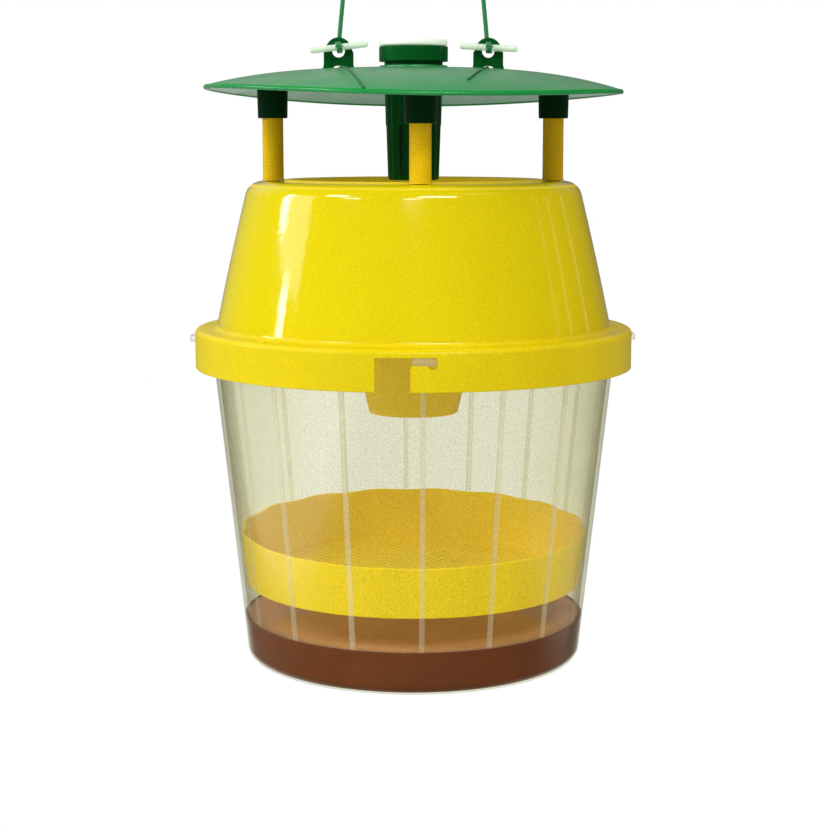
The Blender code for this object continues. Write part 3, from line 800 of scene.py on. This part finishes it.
def make_basket():
    """A closed tube with fine flutes and six slots near its foot."""

    def fluted(radius, height, turn):
        share = ease(height, 226.5, 224.0) * ease(height, 187.0, 188.5)
        if radius < 9.2:
            return radius, height
        return radius + 0.22 * share * math.cos(18 * turn), height

    outline = [
        (0.0, 188.0),
        (8.3, 188.0),
        (9.7, 231.3),
        (9.7, 236.6),
        (10.4, 237.1),
        (13.15, 237.1, 0.5),
        (13.15, 231.3, 0.35),
        (11.15, 231.3, 0.2),
        (11.15, 228.0, 0.0),
        (11.0, 226.8, 0.0),
        (10.75, 219.0, 0.0),
        (10.5, 210.0, 0.0),
        (10.2, 200.0, 0.0),
        (9.9, 191.0, 0.0),
        (9.75, 186.5, 0.6),
        (0.0, 186.5),
    ]
    basket = lathe(
        "lure_basket",
        rounded(outline, closed=False),
        "basket",
        basket_green,
        steps=144,
        closed=False,
        shape=fluted,
    )
    cutters = []
    for degrees in (0, 60, 120):
        maker = bmesh.new()
        low, high = level(189.0), level(207.1)
        size = Matrix.Diagonal((0.026, 0.0016, high - low, 1.0))
        turn = Matrix.Rotation(math.radians(degrees), 4, "Z")
        place = turn @ Matrix.Translation((0, 0, (low + high) / 2)) @ size
        bmesh.ops.create_cube(maker, size=1.0, matrix=place)
        cutters.append(taken_from(maker, "slot"))
    cut(basket, cutters)
    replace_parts(basket, "basket")


def make_stopper():
    outline = [
        (0.0, 239.25),
        (9.6, 239.25, 0.3),
        (10.0, 239.6, 0.3),
        (12.95, 239.6, 1.2),
        (12.95, 237.4, 0.4),
        (9.35, 237.4),
        (9.2, 232.6, 0.5),
        (8.0, 232.6, 0.3),
        (8.0, 238.2, 0.3),
        (0.0, 238.2),
    ]
    stopper = lathe(
        "stopper", rounded(outline, closed=False), "stopper", pale_cap, 96, False
    )
    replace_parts(stopper, "basket_stopper")


def make_septum():
    outline = [
        (0.0, 200.7),
        (2.55, 200.7),
        (2.7, 205.5),
        (4.2, 205.5),
        (4.2, 199.2),
        (3.8, 198.4),
        (3.7, 188.4),
        (0.0, 188.4),
    ]
    septum = lathe(
        "lure", rounded(outline, closed=False), "basket", rubber, 48, False
    )
    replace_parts(septum, "lure_septum")


# Hood, funnel and posts


def make_hood():
    """A slightly bulging cone with a round shoulder, its collar and four bayonet slots."""
    tilt = math.degrees(math.atan2(HOOD_FOOT - HOOD_SHOULDER, SHOULDER_HEIGHT - FOOT_HEIGHT))
    out_r, out_h = math.cos(math.radians(tilt)), math.sin(math.radians(tilt))
    reach = out_r * HOOD_SHOULDER + out_h * SHOULDER_HEIGHT - HOOD_CORNER
    corner_h = HOOD_TOP - HOOD_CORNER
    corner_r = (reach - out_h * corner_h) / out_r
    outline = [(50.2, HOOD_TOP, 0.25)]
    outline += [(54.0, 186.12, 0.0)]
    outline += arc(corner_r, corner_h, HOOD_CORNER, 90, tilt, 12)
    top = outline[-1]
    for i in range(1, 8):
        share = i / 8
        radius = top[0] + (HOOD_FOOT - top[0]) * share + 0.25 * math.sin(math.pi * share)
        outline.append((radius, top[1] + (FOOT_HEIGHT - top[1]) * share, 0.0))
    outline += [(HOOD_FOOT, FOOT_HEIGHT, 0.9), (77.4, 130.0, 0.8)]
    outline += [(80.5, 129.9, 0.0)]
    outline += arc(82.6, 128.0, 2.0, 85, 0, 6)
    outline += [(COLLAR_RADIUS, 121.0, 0.0), (COLLAR_RADIUS, 114.9, 0.35), (82.6, 114.9, 0.35)]
    outline += [(82.6, 128.2, 0.8), (75.0, 128.2, 0.6), (74.4, FOOT_HEIGHT, 0.0)]
    outline += [(63.6, 178.0, 0.0)]
    outline += arc(corner_r, corner_h, HOOD_INNER_CORNER, tilt, 90, 6)
    outline += [(48.7, 184.3, 0.3), (48.7, 185.5, 0.2), (50.2, 185.5, 0.1)]

    def inside(radius, height):
        """The finish of a face: 0 the cone, 1 the inner faces, with a painted glow, 2 the collar.
        """
        if height < 129.0:
            return 1 if radius < 83.2 else 2
        if height < 131.2 and radius > 76.1:
            return 2
        cone = HOOD_FOOT + (FOOT_HEIGHT - height) * math.tan(math.radians(tilt))
        return 1 if radius < cone - 1.0 and height < 184.9 else 0

    hood = lathe(
        "hood_shell",
        rounded(outline),
        "hood",
        [yellow, yellow_inner, collar_yellow],
        faces=inside,
    )
    cutters = []
    shape = [(-17.5, 113.0), (-4.9, 113.0), (-4.9, 123.7), (-4.3, 124.3), (0.9, 124.3)]
    shape += [(1.45, 123.8), (1.75, 123.25), (2.3, 123.1), (3.7, 123.1), (4.3, 123.4)]
    shape += [(4.55, 124.0), (4.55, 126.6), (4.0, 127.2), (-17.0, 127.2), (-17.5, 126.7)]
    for i in range(BAYONETS):
        maker = bmesh.new()
        rings = []
        for radius in (78.5, 90.0):
            turns = [along / COLLAR_RADIUS + math.pi / 2 * i for along, _ in shape]
            rings.append(
                [
                    (radius * MM * math.cos(turn), radius * MM * math.sin(turn), level(height))
                    for turn, (_, height) in zip(turns, shape)
                ]
            )
        skin_over(maker, rings)
        bmesh.ops.recalc_face_normals(maker, faces=maker.faces)
        cutters.append(taken_from(maker, "bayonet"))
    cut(hood, cutters)
    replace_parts(hood, "hood")


def make_funnel():
    outline = [
        (46.6, 186.5, 0.4),
        (47.5, 186.85, 0.4),
        (49.85, 186.8, 0.4),
        (49.85, 185.85, 0.2),
        (48.3, 185.85, 0.2),
        (48.1, 184.0, 0.3),
        (19.4, 105.3, 1.5),
        (17.3, 96.2, 0.5),
        (15.7, 96.2, 0.5),
        (17.8, 105.3, 1.5),
        (46.5, 184.0, 0.3),
    ]
    # the funnel takes yellow_inner, whose glow is painted light standing for light coming through
    # the plastic
    funnel = lathe("funnel_cone", rounded(outline), "hood", yellow_inner)
    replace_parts(funnel, "funnel")


def make_posts():
    outline = [
        (0.0, 222.3),
        (3.1, 222.3),
        (4.0, 221.4),
        (3.98, 205.0, 0.0),
        (4.02, 187.2, 0.0),
        (4.35, 186.4, 0.3),
        (4.35, 186.35, 0.0),
        (2.3, 186.35),
        (2.3, 179.1),
        (0.0, 179.1),
    ]
    for side, (degrees, _) in SOCKETS.items():
        x = POST_CIRCLE * MM * math.cos(math.radians(degrees))
        y = POST_CIRCLE * MM * math.sin(math.radians(degrees))
        mesh = lathe_mesh(f"pillar_{side}", rounded(outline, closed=False), 48, False)
        moved(mesh, (x, y, 0))
        post = new_piece(f"pillar_{side}", mesh, "hood", post_yellow)
        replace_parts(weigh(post), f"post_{side}")


# Bucket, sieve and bait


def bucket_radius(height):
    """Outer radius of the bucket's wall at a height."""
    (low_r, low_h), (high_r, high_h) = WALL_LOW, WALL_HIGH
    return low_r + (height - low_h) / (high_h - low_h) * (high_r - low_r)


def make_bucket():
    foot = BUCKET_FOOT
    outline = [(0.0, 1.9), (foot - 6, 1.9, 0.0)]
    outline += arc(foot, 4.8, 3.0, -90, 0, 6)
    for height in (20, 45, 70, 95, 118):
        outline.append((bucket_radius(height) - WALL, height, 0.0))
    outline += [(77.2, 127.8, 0.4), (78.7, 127.8, 0.4)]
    for height, stand in ((119.4, 0.0), (118.2, 0.12), (117.8, 0.5), (117.0, 0.5), (116.6, 0.12)):
        outline.append((bucket_radius(height) + stand, height, 0.0))
    for height in (115.4, 95, 70, 45, 20, 8):
        outline.append((bucket_radius(height), height, 0.0))
    outline += arc(foot, 4.5, 4.5, 0, -90, 8)
    outline += [(foot - 1.0, 0.35, 0.2), (foot - 3.0, 0.35, 0.2), (0.0, 0.35)]
    bucket = lathe(
        "bucket_shell",
        rounded(outline, closed=False),
        "bucket",
        clear,
        closed=False,
    )
    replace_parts(bucket, "bucket")


def make_ribs():
    """Sixteen slim ribs inside the wall, each with a rounded face."""
    maker = bmesh.new()
    heights = [6.5, 7.5] + [10 + 11.5 * i for i in range(11)] + [126.6]
    for i in range(RIBS):
        turn = 2 * math.pi * i / RIBS
        rings = []
        for index, height in enumerate(heights):
            wall = bucket_radius(height) - WALL
            depth = 0.8 if 0 < index < len(heights) - 1 else 0.25
            section = [(wall + 0.2, -1.0), (wall - depth * 0.55, -0.98), (wall - depth, -0.7)]
            section += [(wall - depth, 0.7), (wall - depth * 0.55, 0.98), (wall + 0.2, 1.0)]
            rings.append([turned_about(r, across, height, turn) for r, across in section])
        skin_over(maker, rings)
    bmesh.ops.recalc_face_normals(maker, faces=maker.faces)
    mesh = taken_from(maker, "bucket_ribs")
    new_piece("bucket_ribs", mesh, "bucket", clear_rib, 50)


def make_tabs():
    """The four bayonet tabs, with rounded ends."""
    maker = bmesh.new()
    for i in range(BAYONETS):
        turn = math.pi / 2 * i
        rings = []
        for height, shrink in ((124.6, 0.3), (124.9, 0.0), (126.6, 0.0), (126.9, 0.3)):
            edge = [(78.3, -4.17 + shrink), (85.9, -4.17 + shrink), (86.5 - shrink, -3.7 + shrink)]
            edge += [(86.7 - shrink, 0.0), (86.5 - shrink, 3.7 - shrink), (85.9, 4.17 - shrink)]
            edge += [(78.3, 4.17 - shrink)]
            rings.append([turned_about(r, across, height, turn) for r, across in edge])
        skin_over(maker, rings)
    bmesh.ops.recalc_face_normals(maker, faces=maker.faces)
    mesh = taken_from(maker, "bucket_tabs")
    new_piece("bucket_tabs", mesh, "bucket", clear_rib, 30)


def make_sieve():
    """A conical ring, a little askew and wavy, and its perforated floor."""

    def wavy(radius, height, turn):
        share = clamp((height - 32.0) / 17.0)
        swell = 0.4 - 0.5 * math.cos(RIBS * turn)
        lift = SIEVE_RISE + SIEVE_SLOPE * math.sin(turn) - 0.2 * math.cos(RIBS * turn)
        return radius + swell * share, height + lift * share

    outline = [
        (58.0, 31.75, 0.2),
        (63.9, 31.75, 0.8),
        (65.8, 48.6, 0.3),
        (66.1, 49.0, 0.3),
        (67.3, 49.0, 0.5),
        (65.4, 29.5, 0.4),
        (63.8, 29.5, 0.4),
        (63.8, 30.4, 0.3),
        (58.0, 30.4, 0.2),
    ]

    def inside(radius, height):
        return 1 if radius < 65.9 - (49.0 - height) * 0.1 and height > 30.6 else 0

    # both sieve finishes, here and on the floor, carry a painted glow: painted light standing for
    # light coming through the plastic
    ring = lathe(
        "sieve_ring",
        rounded(outline),
        "sieve",
        [sieve_yellow, sieve_inner],
        shape=wavy,
        faces=inside,
    )
    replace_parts(ring, "sieve")
    pitch, hole, floor_height, floor_radius = 3.4, 0.95, 31.6, 59.5
    verts, faces, found = [], [], {}

    def vert(x, y):
        key = (round(x, 3), round(y, 3))
        if key not in found:
            found[key] = len(verts)
            verts.append((x * MM, y * MM, level(floor_height)))
        return found[key]

    corner = pitch / math.sqrt(3)
    for row in range(-24, 25):
        for column in range(-24, 25):
            cx = pitch * (column + 0.5 * (row % 2))
            cy = pitch * math.sqrt(3) / 2 * row
            if math.hypot(cx, cy) > floor_radius:
                continue
            outer, inner = [], []
            for k in range(12):
                turn = math.pi / 6 * k
                size = corner if k % 2 else pitch / 2
                outer.append(vert(cx + size * math.cos(turn), cy + size * math.sin(turn)))
                inner.append(vert(cx + hole * math.cos(turn), cy + hole * math.sin(turn)))
            for k in range(12):
                after = (k + 1) % 12
                faces.append((outer[k], outer[after], inner[after], inner[k]))
    mesh = bpy.data.meshes.new("sieve_floor")
    mesh.from_pydata(verts, [], faces)
    mesh.update()
    floor = new_piece("sieve_floor", mesh, "sieve", sieve_inner, 30)
    shell = floor.modifiers.new("sheet", "SOLIDIFY")
    shell.thickness = 1.0 * MM
    shell.offset = -1.0


def make_bait():
    """The liquid, drawn out almost to the outer wall, with its edge drawn up a little."""
    wall = bucket_radius(16.4) - 0.3
    outline = [(0.0, BAIT_TOP), (wall - 7, BAIT_TOP), (wall - 2.4, 16.42), (wall - 1.4, 16.8)]
    outline += [(wall, 17.0), (bucket_radius(8.0) - 0.3, 8.0)]
    outline += [point[:2] for point in arc(BUCKET_FOOT, 4.9, 4.2, 0, -90, 8)]
    outline += [(59.0, 0.9), (0.0, 0.9)]

    def top(radius, height):
        return 1 if height > 16.3 and radius < wall - 1.0 else 0

    # the top face takes a far lighter, peach finish than the side: painted light falling on it and
    # partly a painted reflection of the sieve above
    mesh = lathe_mesh("bait", outline, STEPS, False, None, top)
    piece = new_piece("bait", mesh, "bucket", [bait, bait_top_painted_light], 60)
    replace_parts(piece, "bait_liquid")


# Surroundings


def direction(tree, kind):
    """The separate axes of a texture coordinate."""
    place = tree.nodes.new("ShaderNodeTexCoord")
    axes = tree.nodes.new("ShaderNodeSeparateXYZ")
    tree.links.new(place.outputs[kind], axes.inputs["Vector"])
    return axes.outputs


def by_ray(tree, seen, shiny, lighting, output):
    """One shader for what is seen, one for what is reflected and one for the light cast."""
    rays = tree.nodes.new("ShaderNodeLightPath").outputs
    unseen = blend(tree, rays["Is Glossy Ray"], lighting, shiny)
    whole = blend(tree, rays["Is Camera Ray"], unseen, seen)
    tree.links.new(whole.outputs["Shader"], output.inputs["Surface"])


def make_world():
    """White to the camera, soft and warmer on the right for lighting, mostly dark in gloss."""
    world = bpy.data.worlds.new("studio")
    bpy.context.scene.world = world
    world.use_nodes = True
    tree = world.node_tree
    seen = tree.nodes["Background"]
    seen.inputs["Color"].default_value = (1.0, 1.0, 1.0, 1.0)
    seen.inputs["Strength"].default_value = 1.0
    axes = direction(tree, "Generated")
    low = span(tree, axes["Z"], -0.12, 0.06, 0.3, 0.06, True)
    behind = span(tree, axes["Y"], 0.2, 0.9, 0.0, 0.8, True)
    above = span(tree, axes["Z"], 0.1, 0.4, 0.35, 1.15)
    dimmer = span(tree, axes["X"], -0.3, 0.5, 1.0, 0.35)
    hind = combine(tree, "MULTIPLY", behind, above)
    sided = combine(tree, "MULTIPLY", hind, dimmer)
    room = tree.nodes.new("ShaderNodeBackground")
    tree.links.new(combine(tree, "MAXIMUM", low, sided), room.inputs["Strength"])
    cast = tree.nodes.new("ShaderNodeMix")
    cast.data_type = "RGBA"
    cast.inputs["A"].default_value = (0.84, 0.89, 0.84, 1.0)
    cast.inputs["B"].default_value = (0.57, 0.5, 0.43, 1.0)
    tree.links.new(span(tree, axes["X"], -0.8, 0.8, 0.0, 1.0), cast.inputs["Factor"])
    around = tree.nodes.new("ShaderNodeBackground")
    tree.links.new(cast.outputs["Result"], around.inputs["Color"])
    by_ray(tree, seen, room, around, tree.nodes["World Output"])
    bpy.context.scene.view_settings.view_transform = "Standard"


def make_stage():
    """A pale floor, a little below the hanging trap. Only its far part shows in gloss."""
    maker = bmesh.new()
    bmesh.ops.create_grid(maker, x_segments=1, y_segments=1, size=9.0)
    mesh = taken_from(maker, "floor")
    floor = bpy.data.objects.new("floor", mesh)
    floor.location = (0, 0, FOOT - FLOOR_DROP)
    bpy.context.scene.collection.objects.link(floor)
    paper = bpy.data.materials.new("floor_white")
    paper.use_nodes = True
    tree = paper.node_tree
    axes = direction(tree, "Object")
    far = span(tree, axes["Y"], -0.3, 0.6, 0.05, 1.0, True)
    sideways = combine(tree, "ABSOLUTE", axes["X"])
    narrow = span(tree, sideways, 0.3, 0.9, 1.0, 0.2, True)
    shiny = add_shader(tree, "Emission")
    tree.links.new(combine(tree, "MULTIPLY", far, narrow), shiny.inputs["Strength"])
    seen = add_shader(tree, "Emission")
    glow = add_shader(tree, "Emission", Strength=0.6)
    by_ray(tree, seen, shiny, glow, tree.nodes["Material Output"])
    mesh.materials.append(paper)


def add_light(name, azimuth, elevation, reach, size, power, colour=(1, 1, 1)):
    """An area light of power watts, reach metres away, that faces the trap.

    Azimuth 0 is the camera's side and 90 the right.
    """
    data = bpy.data.lights.new(name, "AREA")
    data.shape = "RECTANGLE"
    data.size, data.size_y = size
    data.energy = power
    data.color = colour
    light = bpy.data.objects.new(name, data)
    bpy.context.scene.collection.objects.link(light)
    a, e = math.radians(azimuth), math.radians(elevation)
    away = Vector((math.sin(a) * math.cos(e), -math.cos(a) * math.cos(e), math.sin(e)))
    middle = Vector((0, 0, level(150)))
    light.location = middle + away * reach
    light.rotation_euler = (-away).to_track_quat("-Z", "Y").to_euler()


def make_lights():
    """The windows and lamps of the photo, as they show in the hood's gloss, and soft fill."""
    warm = (1.0, 0.92, 0.75)
    add_light("strip_left", -97, 22.5, 1.3, (0.15, 0.34), 2.4)
    add_light("strip_left_low", -85, 12, 1.3, (0.11, 0.07), 0.4)
    add_light("softbox_left", -84, 22, 1.3, (0.42, 0.38), 1.35)
    add_light("window_a", -61, 38, 1.3, (0.32, 0.2), 3.6)
    add_light("window_b", -46, 29, 1.3, (0.22, 0.05), 1.0)
    add_light("window_c", 15, 40, 1.3, (0.5, 0.2), 5.0)
    add_light("window_d", -3, 29, 1.3, (0.26, 0.05), 1.2)
    add_light("strip_right_a", 88, 14, 1.4, (0.02, 0.6), 0.05, warm)
    add_light("strip_right_b", 99, 12, 1.4, (0.02, 0.5), 0.06, warm)
    add_light("strip_right_c", 116, 10, 1.4, (0.03, 0.5), 0.06, warm)
    add_light("fill_warm", 60, 60, 1.6, (0.7, 0.7), 1.5, (1.0, 0.8, 0.55))
    add_light("panel_left", -80, -21.5, 1.2, (2.6, 0.19), 2.6)
    add_light("panel_right", 100, -22, 1.2, (1.2, 0.2), 0.35)


make_camera()
cord_green = twine("cord_green", (0.002, 0.22, 0.05))
make_cord()
yellow = plastic("hood_yellow", (0.685, 0.555, 0.002), 0.08, 0.09, 0.03)
collar_yellow = plastic("collar_yellow", (0.7, 0.54, 0.002), 0.3, 0.11, 0.05, 0.15)
# yellow_inner, sieve_yellow and sieve_inner end with a glow: painted light standing for light
# coming through the plastic
yellow_inner = plastic("inner_yellow", (0.7, 0.53, 0.02), 0.35, 0.1, 0.04, 0.2, 0.2)
sieve_yellow = plastic("sieve_yellow", (0.7, 0.51, 0.004), 0.3, 0.14, 0.03, 0.2, 0.33)
sieve_inner = plastic("sieve_inner", (0.74, 0.55, 0.03), 0.4, 0.14, 0.04, 0.2, 0.25)
post_yellow = plastic("pillar_yellow", (0.76, 0.47, 0.002), 0.35, 0.14, 0.05, 0.1)
green = plastic("roof_green", (0.008, 0.24, 0.06), 0.28, 0.08, 0.05, 0.7)
rim_green = plastic("rim_green", (0.0005, 0.26, 0.03), 0.35, 0.08, 0.05, 0.12)
line_green = plastic("line_green", (0.002, 0.15, 0.03), 0.35, 0.08, 0.05, 0.2)
# painted shade: the sockets' near-black green stands for the shade under the roof, whose own green
# is roof_green
socket_green_painted_shade = plastic("socket_green", (0.0005, 0.028, 0.006), 0.3, 0.1, 0.06, 0.1)
basket_green = plastic("basket_green", (0.0005, 0.08, 0.012), 0.25, 0.1, 0.06, 0.1)
# the pale rods and the cap carry translucent_plastic's painted glow, standing for light coming
# through them
pale = translucent_plastic("rod_pale", (0.78, 0.89, 0.76), 0.45)
pale_cap = translucent_plastic("cap_pale", (0.9, 0.96, 0.88), 0.3)
rubber = rubber_finish("lure_red", (0.3, 0.05, 0.03))
# both carry the haze's painted glow; on the hazier ribs it paints them lighter, standing for light
# scattered in them
clear = clear_plastic("bucket_clear", (0.976, 0.977, 0.905), 0.006, (0.85, 0.85, 0.72), 0.08)
clear_rib = clear_plastic("rib_clear", (0.965, 0.96, 0.92), 0.12, (0.93, 0.9, 0.76), 0.05)
bait = liquid("bait_side", (0.144, 0.04, 0.0095), 0.15)
# painted light and reflection: the liquid's top is far lighter than its side, for light from above
# and the sieve mirrored in it
bait_top_painted_light = liquid("bait_surface", (0.53, 0.27, 0.14), 0.08)
make_toggle("left", -1, 6.5)
make_toggle("right", 1, -3.0)
make_roof()
make_sockets()
make_lugs()
make_roof_lines()
make_basket()
make_stopper()
make_septum()
make_hood()
make_funnel()
make_posts()
make_bucket()
make_ribs()
make_tabs()
make_sieve()
make_bait()
make_world()
make_stage()
make_lights()
